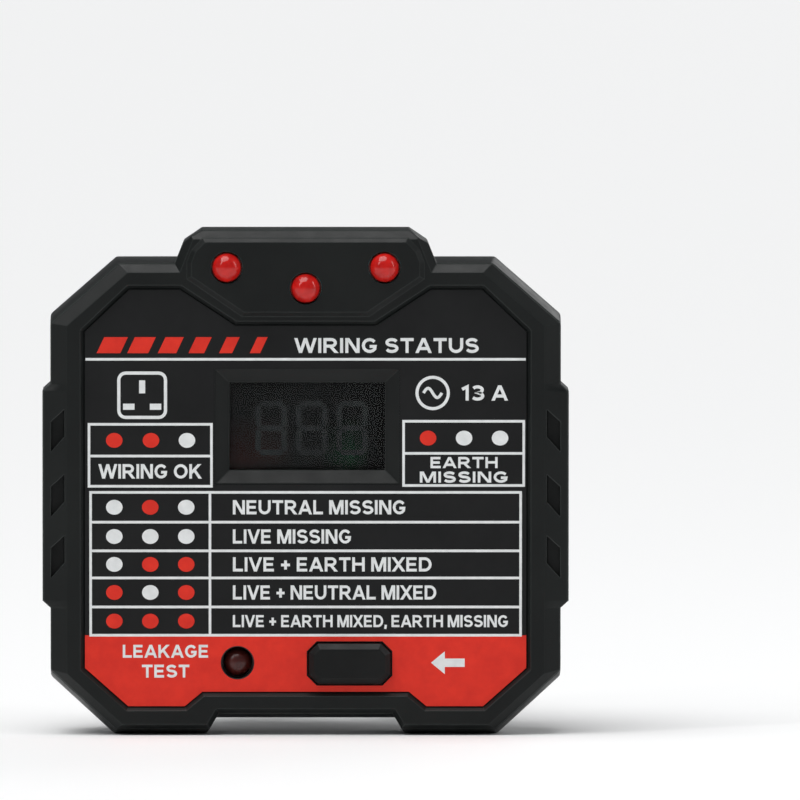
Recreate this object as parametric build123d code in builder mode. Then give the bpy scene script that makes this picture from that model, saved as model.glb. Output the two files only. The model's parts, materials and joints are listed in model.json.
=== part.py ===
from build123d import *
from math import atan2, copysign, degrees, sqrt
import os

# Outlet tester plug for British 13 A sockets, in millimetres.
# Origin: centre of the pin pattern on the plug face. +Z is up, the pins point along +Y and the
# display faces -Y. A "depth" is a distance in front of the plug face, towards the user (-Y).

# Pins, to the British 13 A standard
PIN_X = 11.11
PIN_Z = 11.115
EARTH_SIZE = (4.0, 8.0)
LINE_SIZE = (6.35, 4.0)
EARTH_LENGTH = 22.73
LINE_LENGTH = 17.7
PIN_TIP = 2.2
SLEEVE_END = 9.5
SLEEVE_WALL = 0.5

# Plinth that stands proud of the body and meets the socket
PLINTH_HALF = (22.4, 21.0)
PLINTH_CORNER = 6.6
PLINTH_BEVEL = 1.4
PLATE_HALF = (19.4, 18.4)
PLATE_CORNER = 5.0
PLATE_THICK = 3.0
PLATE_GROOVE = 0.4
LEDGE_DEPTH = 1.4

# Body
REAR_DEPTH = 10.6
RIDGE_DEPTH = 15.0
CREST_DEPTH = 23.5
PARTING_DEPTH = 28.3
RIM_DEPTH = 29.5
BROW_DEPTH = 30.1
TOP_BEVEL = 1.15
UPPER_BEVEL = 1.65
SIDE_BEVEL = 2.15
LOWER_BEVEL = 1.1
FOOT_BEVEL = 0.65
BROW_BEVEL = 1.15
REAR_HALF_WIDTH = 23.3
RIDGE_HALF_WIDTH = 33.5
EDGE_HALF_WIDTH = 33.35
SHOULDER_TOP = 31.2
FOOT_BOTTOM = -31.3
FOOT_INNER = 11.3
FOOT_ROOT = -28.4
FOOT_SLOPE = 0.6
CORNER_RADIUS = 0.8
MIN_LONG_EDGE = 12.0
NOTCH_TOP = (9.5, -18.0)
REAR_GROWTH = 1.2
RIDGE_SETBACK = 0.67
BELLY_BOTTOM = -29.3
SHOULDER_DROP = 7.8
BELLY_DROP = 8.6
UPPER_CORNER = (0.658, 0.753)
UPPER_REACH = 39.8
UPPER_DROP = 9.0
LOWER_CORNER = (0.676, -0.737)
LOWER_REACH = 40.1
LOWER_DROP = 7.5
WALL = 1.8
FIT_GAP = 0.1
PARTING_GAP = 0.2
FAR = 60.0

# Brow above the shoulders, which carries the three lamps
BROW_TOP = 35.1
BROW_REAR_TOP = 25.3
BROW_HALF_WIDTH = 16.8
BROW_REAR_HALF = 8.6
BROW_CREST_DEPTH = 25.0
BROW_SPREAD_DEPTH = 21.0
BROW_SLOPE = 0.4
BROW_CHAMFER = 1.7
BROW_INNER_CHAMFER = 1.0
BROW_RADIUS = 0.4
BROW_ROOT = 12.0

# Side pads
PAD_TOP = 13.7
PAD_BOTTOM = -13.7
PAD_STEP = 0.95
PAD_RISE = 1.05
PAD_ROOT = REAR_HALF_WIDTH - 4.0
RING_REAR = 12.2
RING_FRONT = 22.8
RING_Z = 1.0
RING_HEIGHT = 14.5
RING_CUT = 0.6
RING_WIDTH = 1.1
RING_RADIUS = 1.6
RING_REACH = 20.0
SLOT_FLOOR = 27.6
SLOT_ROWS = (9.0, 0.5, -7.5)
SLOT_CORNERS = ((31.5, -1.25), (31.5, 2.35), (33.3, 0.72), (33.3, -3.25))

# Front panel
LIP_WALL = 1.0
LIP_DEPTH = 25.4
BOSS_RADIUS = 2.6
SCREW_PILOT = 0.95
SCREW_CLEARANCE = 0.15
SCREW_HEAD = (2.0, 1.3)
BUTTON_FACE = 30.3
LABEL_FLOOR = 28.75
LABEL_THICK = 0.25
COVER_BACK = 27.2
WINDOW_CENTRE = (0.2, 9.1)
GLASS_SIZE = (20.0, 11.1)
WINDOW_MOUTH = (23.9, 14.9)
WINDOW_FACE = 27.7
WINDOW_FLANGE = (24.4, 15.4)
WINDOW_THICK = 0.9
WINDOW_CLEARANCE = 0.05
LCD_SIZE = (22.8, 14.2)
LCD_PANE = 1.0
LCD_CONTACTS = 2.0
LED_RADIUS = 1.9
LED_X = 10.3
LED_OUTER_Z = 29.9
LED_MIDDLE_Z = 27.2
RCD_LED = (-8.9, -21.8)
BUTTON_CENTRE = (5.75, -21.9)
BUTTON_SIZE = (10.9, 5.5)
BUTTON_GAP = 0.2
BUTTON_FLANGE = 1.6

# Pin carrier
COLLAR_SEAT = 1.5
COLLAR_RISE = 0.9
COLLAR_STEP = 0.7
RETAINER_THICK = 3.5
RETAINER_HALF = (17.5, 17.0)
FLANGE_GROWTH = 1.6
FLANGE_THICK = 1.5
RETAINER_SCREWS = [(-12.5, 6.0), (12.5, 6.0), (-4.0, -6.5), (4.0, -6.5)]
TAIL_DEPTH = 9.0
WIRE_RADIUS = 0.8

# Circuit board
BOARD_FRONT = 21.5
BOARD_THICK = 1.6
BOARD_BACK = BOARD_FRONT - BOARD_THICK

os.makedirs("parts", exist_ok=True)


def front(depth):
    """Sketch plane facing the user, at a depth in front of the plug face."""
    return Plane.XZ.offset(depth)


def mirrored(points):
    """Close a right-hand outline with its mirror image about X = 0."""
    return points + [(-x, z) for x, z in reversed(points)]


def octagon(half, corner, grow=0.0):
    """Rectangle with cut corners, and all its sides moved out by grow."""
    x, z = half[0] + grow, half[1] + grow
    cut = corner + (2 - sqrt(2)) * grow
    return mirrored([(x - cut, z), (x, z - cut), (x, cut - z), (x - cut, -z)])


# ---------------------------------------------------------------- body form


def wall_height(reach, drop, inset, depth, crest_depth=CREST_DEPTH):
    """How far a wall stands out at a depth, when it arcs back by drop at the rear."""
    span = crest_depth - REAR_DEPTH
    radius = (span**2 + drop**2) / (2 * drop)
    return reach - radius + sqrt((radius - inset) ** 2 - (depth - crest_depth) ** 2)


def arc_wall(nx, nz, reach, drop, inset, crest_depth=CREST_DEPTH, bevel=0.0):
    """Region behind a wall that faces (nx, nz) in XZ and arcs back to the rear."""
    start = REAR_DEPTH + inset
    end = PARTING_DEPTH if bevel else RIM_DEPTH
    first = wall_height(reach, drop, inset, start, crest_depth)
    last = wall_height(reach, drop, inset, end, crest_depth)
    outline = [(-RIM_DEPTH, last - bevel), (-RIM_DEPTH, -FAR), (-start, -FAR), (-start, first)]
    if bevel:
        outline.insert(0, (-end, last))
    with BuildSketch(Plane((0, 0, 0), x_dir=(0, 1, 0), z_dir=(nz, 0, -nx))) as wall:
        with BuildLine():
            ThreePointArc((-start, first), (-crest_depth, reach - inset), (-end, last))
            Polyline(*outline)
        make_face()
    return wall.sketch


def side_profile(grow, bevel=0.0):
    """Half of the plan of the body's side, from the rear shoulder to the rim."""
    step_back = RIDGE_SETBACK * min(grow, 0)
    return [
        (REAR_HALF_WIDTH + REAR_GROWTH * grow, -REAR_DEPTH),
        (RIDGE_HALF_WIDTH + grow, -RIDGE_DEPTH + step_back),
        (EDGE_HALF_WIDTH + grow, -PARTING_DEPTH),
        (EDGE_HALF_WIDTH + min(grow, 0) - bevel, -RIM_DEPTH),
    ]


def body_form(inset):
    """The body without its brow, with every outer wall moved in by inset."""
    walls = [
        arc_wall(0, 1, SHOULDER_TOP, SHOULDER_DROP, inset),
        arc_wall(0, -1, -FOOT_BOTTOM, SHOULDER_DROP, inset),
    ]
    for side in (-1, 1):
        nx, nz = UPPER_CORNER
        walls.append(arc_wall(side * nx, nz, UPPER_REACH, UPPER_DROP, inset))
        nx, nz = LOWER_CORNER
        walls.append(arc_wall(side * nx, nz, LOWER_REACH, LOWER_DROP, inset))
    with BuildPart() as form:
        with BuildSketch(Plane.XY):
            Polygon(*mirrored(side_profile(-inset)), align=None)
        extrude(amount=FAR, both=True)
        for wall in walls:
            extrude(wall, amount=FAR, both=True, mode=Mode.INTERSECT)
        if inset == 0:
            long_edges = form.edges().filter_by(lambda e: e.length > MIN_LONG_EDGE)
            corners = long_edges.filter_by(lambda e: abs(e.tangent_at(0.5).Y) > 0.8)
            ridges = long_edges.filter_by(Axis.Z).group_by(SortBy.DISTANCE)[-1]
            fillet(corners + ridges, radius=CORNER_RADIUS)
        add(belly_notch(inset), mode=Mode.SUBTRACT)
    return form.part


def foot_side(drop):
    """Point on the inner side of a foot, at a distance below the middle."""
    return (FOOT_INNER + FOOT_SLOPE * (drop + FOOT_ROOT), -drop)


def belly_notch(inset):
    """Space between the two feet."""
    belly = arc_wall(0, -1, -BELLY_BOTTOM, BELLY_DROP, inset)
    with BuildPart() as notch:
        with BuildSketch(front(REAR_DEPTH)):
            side = [NOTCH_TOP, (FOOT_INNER, FOOT_ROOT), foot_side(FAR)]
            Polygon(*mirrored([(x + inset, z) for x, z in side]), align=None)
        extrude(amount=RIM_DEPTH - REAR_DEPTH)
        extrude(belly, amount=FAR, both=True, mode=Mode.SUBTRACT)
    return notch.part


def bevelled_wall(nx, nz, reach, bevel):
    """Slanted plane that cuts a wall facing (nx, nz) back by bevel at the rim."""
    rise = RIM_DEPTH - PARTING_DEPTH
    return Plane(
        origin=(nx * reach, -PARTING_DEPTH, nz * reach), z_dir=(nx * rise, -bevel, nz * rise)
    )


def front_bevel():
    """The rim of the body, which narrows from the parting line to the front."""
    top = wall_height(SHOULDER_TOP, SHOULDER_DROP, 0, PARTING_DEPTH)
    foot = wall_height(-FOOT_BOTTOM, SHOULDER_DROP, 0, PARTING_DEPTH)
    belly = wall_height(-BELLY_BOTTOM, BELLY_DROP, 0, PARTING_DEPTH)
    upper = wall_height(UPPER_REACH, UPPER_DROP, 0, PARTING_DEPTH)
    lower = wall_height(LOWER_REACH, LOWER_DROP, 0, PARTING_DEPTH)
    outline = [
        ((upper - UPPER_CORNER[1] * top) / UPPER_CORNER[0], top),
        (EDGE_HALF_WIDTH, (upper - UPPER_CORNER[0] * EDGE_HALF_WIDTH) / UPPER_CORNER[1]),
        (EDGE_HALF_WIDTH, (lower - LOWER_CORNER[0] * EDGE_HALF_WIDTH) / LOWER_CORNER[1]),
        ((lower + LOWER_CORNER[1] * foot) / LOWER_CORNER[0], -foot),
    ]
    walls = [(0, 1, top, TOP_BEVEL), (0, -1, foot, FOOT_BEVEL)]
    for side in (-1, 1):
        walls.append((side, 0, EDGE_HALF_WIDTH, SIDE_BEVEL))
        walls.append((side * UPPER_CORNER[0], UPPER_CORNER[1], upper, UPPER_BEVEL))
        walls.append((side * LOWER_CORNER[0], LOWER_CORNER[1], lower, LOWER_BEVEL))
    with BuildPart() as bevel:
        with BuildSketch(front(PARTING_DEPTH)) as section:
            Polygon(*mirrored(outline), align=None)
            fillet(section.vertices(), radius=CORNER_RADIUS)
        extrude(amount=RIM_DEPTH - PARTING_DEPTH)
        for wall in walls:
            split(bisect_by=bevelled_wall(*wall), keep=Keep.BOTTOM)
        with BuildSketch(front(PARTING_DEPTH)):
            Polygon(*mirrored([foot_side(belly), foot_side(FAR)]), align=None)
        slope = degrees(atan2(FOOT_BEVEL, RIM_DEPTH - PARTING_DEPTH))
        extrude(amount=RIM_DEPTH - PARTING_DEPTH, taper=-slope, mode=Mode.SUBTRACT)
    return bevel.part


def brow_section(half_width, level, inset):
    """Trapezoid whose side passes half_width at a level."""
    low, high = BROW_ROOT, BROW_TOP + 1.0

    def half(z):
        return half_width - inset - BROW_SLOPE * (z - level)

    return mirrored([(half(low), low), (half(high), high)])


def lengthwise(part, above):
    """Edges above a height that run from front to rear."""
    high = part.edges().filter_by(lambda e: e.center().Z > above)
    return high.filter_by(lambda e: abs(e.tangent_at(0.5).Y) > 0.3)


def brow_form(inset, chamfer_size):
    """The brow block, which narrows and arcs down to the rear."""
    drop = BROW_TOP - BROW_REAR_TOP
    top = arc_wall(0, 1, BROW_TOP, drop, inset, BROW_CREST_DEPTH, BROW_BEVEL)
    full = brow_section(BROW_HALF_WIDTH, SHOULDER_TOP, inset)
    with BuildPart() as form:
        with BuildSketch(front(REAR_DEPTH)):
            Polygon(*brow_section(BROW_REAR_HALF, BROW_REAR_TOP, inset), align=None)
        with BuildSketch(front(BROW_SPREAD_DEPTH)):
            Polygon(*full, align=None)
        loft(ruled=True)
        with BuildSketch(front(BROW_SPREAD_DEPTH)):
            Polygon(*full, align=None)
        extrude(amount=PARTING_DEPTH - BROW_SPREAD_DEPTH)
        with BuildSketch(front(PARTING_DEPTH)):
            Polygon(*full, align=None)
        with BuildSketch(front(RIM_DEPTH)):
            Polygon(*brow_section(BROW_HALF_WIDTH - BROW_BEVEL, SHOULDER_TOP, inset), align=None)
        loft(ruled=True)
        extrude(top, amount=FAR, both=True, mode=Mode.INTERSECT)
        sides = lengthwise(form, SHOULDER_TOP - 5).filter_by(lambda e: abs(e.center().X) > 8.0)
        chamfer(sides.filter_by(lambda e: e.length > 3.0), length=chamfer_size)
        if inset == 0:
            fillet(lengthwise(form, SHOULDER_TOP - 3), radius=BROW_RADIUS)
    return form.part


def pad_form(side):
    """Raised grip on one side of the body, with sloping ends."""
    stations = [
        (PAD_TOP + PAD_STEP, 0.0),
        (PAD_TOP, PAD_RISE),
        (PAD_BOTTOM, PAD_RISE),
        (PAD_BOTTOM - PAD_STEP, 0.0),
    ]
    with BuildPart() as pad:
        for z, grow in stations:
            profile = side_profile(grow, SIDE_BEVEL)
            points = [(PAD_ROOT, -REAR_DEPTH), *profile, (PAD_ROOT, -RIM_DEPTH)]
            with BuildSketch(Plane.XY.offset(z)):
                Polygon(*[(side * x, y) for x, y in points], align=None)
        loft(ruled=True)
    return pad.part


def grip_tools(side):
    """Cutters for a pad: a ring groove round its ridge and three slots in its front edge."""
    width = RING_FRONT - RING_REAR
    inner = (width - 2 * RING_WIDTH, RING_HEIGHT - 2 * RING_WIDTH)
    with BuildPart() as ring:
        with BuildSketch(Plane.YZ.offset(side * RING_REACH)):
            with Locations(((RING_FRONT + RING_REAR) / -2, RING_Z)):
                RectangleRounded(width, RING_HEIGHT, RING_RADIUS)
                RectangleRounded(*inner, RING_RADIUS / 2, mode=Mode.SUBTRACT)
        extrude(amount=side * RING_REACH)
        with BuildSketch(Plane.XY):
            Polygon(*mirrored(side_profile(PAD_RISE - RING_CUT)), align=None)
        extrude(amount=RING_REACH, both=True, mode=Mode.SUBTRACT)
    with BuildPart() as slots:
        with BuildSketch(front(SLOT_FLOOR)):
            for z in SLOT_ROWS:
                Polygon(*[(side * x, z + rise) for x, rise in SLOT_CORNERS], align=None)
        extrude(amount=RIM_DEPTH - SLOT_FLOOR + 1.0)
    return ring.part, slots.part


body_outer = body_form(0)
brow_outer = brow_form(0, BROW_CHAMFER)
body_hollow = body_form(WALL)
brow_hollow = brow_form(WALL, BROW_INNER_CHAMFER)
lip_body = body_form(WALL + FIT_GAP)
lip_brow = brow_form(WALL + FIT_GAP, BROW_INNER_CHAMFER)
lip_body_inner = body_form(WALL + FIT_GAP + LIP_WALL)
lip_brow_inner = brow_form(WALL + FIT_GAP + LIP_WALL, 0.8)

with BuildPart() as outer:
    add(body_outer)
    split(bisect_by=front(PARTING_DEPTH), keep=Keep.BOTTOM)
    add(front_bevel())
    add(brow_outer)
    for side in (-1, 1):
        add(pad_form(side))
    for side in (-1, 1):
        ring_cut, slot_cut = grip_tools(side)
        add(ring_cut, mode=Mode.SUBTRACT)
        add(slot_cut, mode=Mode.SUBTRACT)

# ---------------------------------------------------------------- rear shell

with BuildPart() as rear_shell:
    add(outer.part)
    split(bisect_by=front(PARTING_DEPTH - PARTING_GAP), keep=Keep.BOTTOM)
    with BuildSketch(Plane.XZ):
        Polygon(*octagon(PLINTH_HALF, PLINTH_CORNER, -PLINTH_BEVEL), align=None)
    with BuildSketch(front(PLINTH_BEVEL)):
        Polygon(*octagon(PLINTH_HALF, PLINTH_CORNER), align=None)
    loft(ruled=True)
    with BuildSketch(front(PLINTH_BEVEL)):
        Polygon(*octagon(PLINTH_HALF, PLINTH_CORNER), align=None)
    extrude(amount=REAR_DEPTH + 1.0 - PLINTH_BEVEL)
    # valley where the plinth meets the body
    with BuildSketch(front(REAR_DEPTH - 1.0)):
        Polygon(*octagon(PLINTH_HALF, PLINTH_CORNER, 0.6), align=None)
        Polygon(*octagon(PLINTH_HALF, PLINTH_CORNER), align=None, mode=Mode.SUBTRACT)
    extrude(amount=1.9, mode=Mode.SUBTRACT)
    # hollow body, hollow plinth, and the opening for the pin plate
    add(body_hollow, mode=Mode.SUBTRACT)
    add(brow_hollow, mode=Mode.SUBTRACT)
    with BuildSketch(front(LEDGE_DEPTH)):
        Polygon(*octagon(PLATE_HALF, PLATE_CORNER, 1.4), align=None)
    extrude(amount=REAR_DEPTH + WALL + 1.0 - LEDGE_DEPTH, mode=Mode.SUBTRACT)
    with BuildSketch(Plane.XZ):
        Polygon(*octagon(PLATE_HALF, PLATE_CORNER, PLATE_GROOVE), align=None)
    extrude(amount=LEDGE_DEPTH, mode=Mode.SUBTRACT)
rear_shell.part.label = "rear_shell"
export_step(rear_shell.part, "parts/rear_shell.step")

# ---------------------------------------------------------------- front cover

LABEL_OUTLINE = [
    (9.2, 22.3),
    (16.4, 27.0),
    (23.05, 27.0),
    (28.85, 21.5),
    (28.85, -22.5),
    (23.2, -27.5),
    (15.8, -27.5),
    (13.5, -25.6),
]
BROW_OUTLINE = [(8.3, 23.5), (15.5, 28.4), (15.5, 30.6), (14.9, 32.2), (13.4, 33.8)]
BROW_INNER = [(8.0, 24.1), (14.9, 28.75), (14.9, 30.5), (14.35, 31.95), (13.1, 33.2)]
BOSSES = [(-24.5, 17.5), (24.5, 17.5), (-24.5, -19.5), (24.5, -19.5)]
LED_POINTS = [(-LED_X, LED_OUTER_Z), (0.0, LED_MIDDLE_Z), (LED_X, LED_OUTER_Z)]

with BuildPart() as cover_lip:
    add(lip_body)
    add(lip_brow)
    split(bisect_by=front(LIP_DEPTH), keep=Keep.TOP)
    split(bisect_by=front(PARTING_DEPTH), keep=Keep.BOTTOM)

with BuildPart() as lip_core:
    add(lip_body_inner)
    add(lip_brow_inner)
    split(bisect_by=front(COVER_BACK), keep=Keep.BOTTOM)

with BuildPart() as front_cover:
    add(outer.part)
    split(bisect_by=front(PARTING_DEPTH), keep=Keep.TOP)
    add(cover_lip.part)
    add(lip_core.part, mode=Mode.SUBTRACT)
    with BuildSketch(front(RIM_DEPTH)):
        Polygon(*mirrored(BROW_OUTLINE), align=None)
    with BuildSketch(front(BROW_DEPTH)):
        Polygon(*mirrored(BROW_INNER), align=None)
    loft(ruled=True)
    with BuildSketch(front(COVER_BACK)):
        with Locations(*BOSSES):
            Circle(BOSS_RADIUS)
    extrude(amount=BOARD_FRONT - COVER_BACK)
    with BuildSketch(front(BOARD_FRONT)):
        with Locations(*BOSSES):
            Circle(SCREW_PILOT)
    extrude(amount=5.0, mode=Mode.SUBTRACT)
    # label recess with sloping walls
    with BuildSketch(front(LABEL_FLOOR)):
        Polygon(*mirrored(LABEL_OUTLINE), align=None)
    extrude(amount=1.5, taper=-38, mode=Mode.SUBTRACT)
    # display opening, wide at the label and narrow at the window
    with BuildSketch(front(LABEL_FLOOR)):
        with Locations(WINDOW_CENTRE):
            Rectangle(*WINDOW_MOUTH)
    with BuildSketch(front(WINDOW_FACE)):
        with Locations(WINDOW_CENTRE):
            Rectangle(GLASS_SIZE[0] + 0.4, GLASS_SIZE[1] + 0.4)
    loft(ruled=True, mode=Mode.SUBTRACT)
    with BuildSketch(front(COVER_BACK)):
        with Locations(WINDOW_CENTRE):
            Rectangle(GLASS_SIZE[0] + 0.4, GLASS_SIZE[1] + 0.4)
    extrude(amount=1.0, mode=Mode.SUBTRACT)
    # lamp holes and the button hole
    with BuildSketch(front(LIP_DEPTH)):
        with Locations(*LED_POINTS, RCD_LED):
            Circle(LED_RADIUS + 0.2)
        with Locations(BUTTON_CENTRE):
            hole = Rectangle(*BUTTON_SIZE)
        chamfer(hole.vertices(), length=1.25)
    extrude(amount=8.0, mode=Mode.SUBTRACT)
front_cover.part.label = "front_cover"
export_step(front_cover.part, "parts/front_cover.step")

# ---------------------------------------------------------------- label, window, display

with BuildPart() as label_panel:
    with BuildSketch(front(LABEL_FLOOR)):
        Polygon(*mirrored(LABEL_OUTLINE), align=None)
        with Locations(WINDOW_CENTRE):
            Rectangle(WINDOW_MOUTH[0] + 0.3, WINDOW_MOUTH[1] + 0.3, mode=Mode.SUBTRACT)
        with Locations(RCD_LED):
            Circle(LED_RADIUS + 0.3, mode=Mode.SUBTRACT)
        with BuildSketch(mode=Mode.SUBTRACT):
            with Locations(BUTTON_CENTRE):
                opening = Rectangle(BUTTON_SIZE[0] + 0.3, BUTTON_SIZE[1] + 0.3)
            chamfer(opening.vertices(), length=1.3)
    extrude(amount=LABEL_THICK)
label_panel.part.label = "label_panel"
export_step(label_panel.part, "parts/label_panel.step")

with BuildPart() as display_window:
    with BuildSketch(front(COVER_BACK - WINDOW_THICK)):
        with Locations(WINDOW_CENTRE):
            Rectangle(*WINDOW_FLANGE)
    extrude(amount=WINDOW_THICK)
    with BuildSketch(front(COVER_BACK)):
        with Locations(WINDOW_CENTRE):
            Rectangle(*GLASS_SIZE)
    extrude(amount=WINDOW_FACE - COVER_BACK - WINDOW_CLEARANCE)
display_window.part.label = "display_window"
export_step(display_window.part, "parts/display_window.step")

LCD_FRONT = COVER_BACK - 1.0
LCD_BACK = LCD_FRONT - 2 * LCD_PANE
with BuildPart() as lcd_glass:
    with BuildSketch(front(LCD_BACK)):
        with Locations(WINDOW_CENTRE):
            Rectangle(*LCD_SIZE)
    extrude(amount=LCD_PANE)
    # the front pane is shorter, which bares the contacts along the bottom
    with BuildSketch(front(LCD_BACK + LCD_PANE)):
        with Locations((WINDOW_CENTRE[0], WINDOW_CENTRE[1] + LCD_CONTACTS / 2)):
            Rectangle(LCD_SIZE[0], LCD_SIZE[1] - LCD_CONTACTS)
    extrude(amount=LCD_PANE)
lcd_glass.part.label = "lcd_glass"
export_step(lcd_glass.part, "parts/lcd_glass.step")

with BuildPart() as lcd_backlight:
    with BuildSketch(front(BOARD_FRONT + 0.3)):
        with Locations((WINDOW_CENTRE[0], WINDOW_CENTRE[1] + 1.4)):
            RectangleRounded(22.6, 11.2, 0.8)
    extrude(amount=LCD_BACK - BOARD_FRONT - 0.4)
lcd_backlight.part.label = "lcd_backlight"
export_step(lcd_backlight.part, "parts/lcd_backlight.step")

with BuildPart() as zebra_strip:
    with BuildSketch(front(BOARD_FRONT)):
        with Locations((WINDOW_CENTRE[0], WINDOW_CENTRE[1] - 6.2)):
            Rectangle(21.0, 1.3)
    extrude(amount=LCD_BACK - BOARD_FRONT)
zebra_strip.part.label = "zebra_strip"
export_step(zebra_strip.part, "parts/zebra_strip.step")

with BuildPart() as lcd_frame:
    with BuildSketch(front(BOARD_FRONT)):
        with Locations(WINDOW_CENTRE):
            RectangleRounded(25.0, 16.4, 0.8)
            Rectangle(23.2, 14.6, mode=Mode.SUBTRACT)
    extrude(amount=LCD_FRONT - BOARD_FRONT - 0.2)
lcd_frame.part.label = "lcd_frame"
export_step(lcd_frame.part, "parts/lcd_frame.step")

# ---------------------------------------------------------------- test button and its switch

SWITCH_TOP = BOARD_FRONT + 2.9
with BuildPart() as rcd_button:
    with BuildSketch(front(COVER_BACK - 1.0)):
        with Locations(BUTTON_CENTRE):
            cap = Rectangle(BUTTON_SIZE[0] - BUTTON_GAP, BUTTON_SIZE[1] - BUTTON_GAP)
        chamfer(cap.vertices(), length=1.2)
    extrude(amount=BUTTON_FACE - COVER_BACK + 1.0)
    chamfer(rcd_button.faces().sort_by(Axis.Y)[0].edges(), length=0.75)
    with BuildSketch(front(COVER_BACK - 1.0)):
        with Locations(BUTTON_CENTRE):
            RectangleRounded(BUTTON_SIZE[0] + BUTTON_FLANGE, BUTTON_SIZE[1] + BUTTON_FLANGE, 0.8)
    extrude(amount=0.9)
    with BuildSketch(front(SWITCH_TOP + 0.55)):
        with Locations(BUTTON_CENTRE):
            Circle(1.6)
    extrude(amount=COVER_BACK - 1.0 - SWITCH_TOP - 0.55)
rcd_button.part.label = "rcd_button"
export_step(rcd_button.part, "parts/rcd_button.step")

with BuildPart() as switch_body:
    with BuildSketch(front(BOARD_FRONT)):
        with Locations(BUTTON_CENTRE):
            RectangleRounded(6.2, 6.2, 0.5)
    extrude(amount=2.6)
    with BuildSketch(front(BOARD_FRONT + 0.6)):
        with Locations(BUTTON_CENTRE):
            Circle(2.3)
    extrude(amount=2.0, mode=Mode.SUBTRACT)
switch_body.part.label = "switch_body"
export_step(switch_body.part, "parts/switch_body.step")

with BuildPart() as switch_cover:
    with BuildSketch(front(BOARD_FRONT + 2.6)):
        with Locations(BUTTON_CENTRE):
            RectangleRounded(6.2, 6.2, 0.5)
            Circle(1.75, mode=Mode.SUBTRACT)
    extrude(amount=0.3)
switch_cover.part.label = "switch_cover"
export_step(switch_cover.part, "parts/switch_cover.step")

with BuildPart() as switch_plunger:
    with BuildSketch(front(BOARD_FRONT + 1.6)):
        with Locations(BUTTON_CENTRE):
            Circle(2.2)
    extrude(amount=0.9)
    with BuildSketch(front(BOARD_FRONT + 2.5)):
        with Locations(BUTTON_CENTRE):
            Circle(1.7)
    extrude(amount=SWITCH_TOP + 0.5 - BOARD_FRONT - 2.5)
switch_plunger.part.label = "switch_plunger"
export_step(switch_plunger.part, "parts/switch_plunger.step")


def cap_point(rim, rise, x):
    """Point of a shallow domed arc that is centred on the axis and ends at the rim."""
    radius = (rim**2 + rise**2) / (2 * rise)
    return (x, radius - rise - sqrt(radius**2 - x**2))


dome_centre = (BUTTON_CENTRE[0], -(BOARD_FRONT + 0.6), BUTTON_CENTRE[1])
with BuildPart() as switch_dome:
    with BuildSketch(Plane(dome_centre, x_dir=(1, 0, 0), z_dir=(0, 0, 1))):
        with BuildLine():
            ThreePointArc((0, -0.4), cap_point(2.1, 0.4, 1.0), (2.1, 0))
            Line((2.1, 0), (1.95, 0))
            ThreePointArc((1.95, 0), cap_point(1.95, 0.3, 1.0), (0, -0.3))
            Line((0, -0.3), (0, -0.4))
        make_face()
    revolve(axis=Axis(dome_centre, (0, 1, 0)))
switch_dome.part.label = "switch_dome"
export_step(switch_dome.part, "parts/switch_dome.step")

# ---------------------------------------------------------------- lamps


def lamp(point, back, dome):
    """Lamp lens: a flange, a barrel from the back to the dome's base, and a domed tip."""
    with BuildPart() as lens:
        with BuildSketch(front(back)):
            with Locations(point):
                Circle(LED_RADIUS + 0.3)
        extrude(amount=0.8)
        with BuildSketch(front(back)):
            with Locations(point):
                Circle(LED_RADIUS)
        extrude(amount=dome - back)
        with Locations((point[0], -dome, point[1])):
            Sphere(LED_RADIUS)
    return lens


LED_BACK = BROW_DEPTH - 4.6
RCD_BACK = COVER_BACK - 1.0
for name, point in zip(("led_left", "led_middle", "led_right"), LED_POINTS):
    led = lamp(point, LED_BACK, BROW_DEPTH - 0.5)
    led.part.label = name
    export_step(led.part, f"parts/{name}.step")

rcd_led = lamp(RCD_LED, RCD_BACK - 1.0, LABEL_FLOOR + LABEL_THICK - 2.1)
rcd_led.part.label = "rcd_led"
export_step(rcd_led.part, "parts/rcd_led.step")

with BuildPart() as led_leads:
    with BuildSketch(front(BOARD_FRONT)):
        for x, z in LED_POINTS:
            with Locations((x - 1.27, z), (x + 1.27, z)):
                Rectangle(0.5, 0.5)
    extrude(amount=LED_BACK - BOARD_FRONT)
    with BuildSketch(front(BOARD_FRONT)):
        with Locations((RCD_LED[0] - 1.27, RCD_LED[1]), (RCD_LED[0] + 1.27, RCD_LED[1])):
            Rectangle(0.5, 0.5)
    extrude(amount=RCD_BACK - 1.0 - BOARD_FRONT)
led_leads.part.label = "led_leads"
export_step(led_leads.part, "parts/led_leads.step")

# ---------------------------------------------------------------- pins, collars and their carrier

PINS = {
    "earth": ((0.0, PIN_Z), EARTH_SIZE, EARTH_LENGTH, 1.3),
    "live": ((PIN_X, -PIN_Z), LINE_SIZE, LINE_LENGTH, 1.0),
    "neutral": ((-PIN_X, -PIN_Z), LINE_SIZE, LINE_LENGTH, 1.0),
}
TAIL = (2.4, 1.2)

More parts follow.
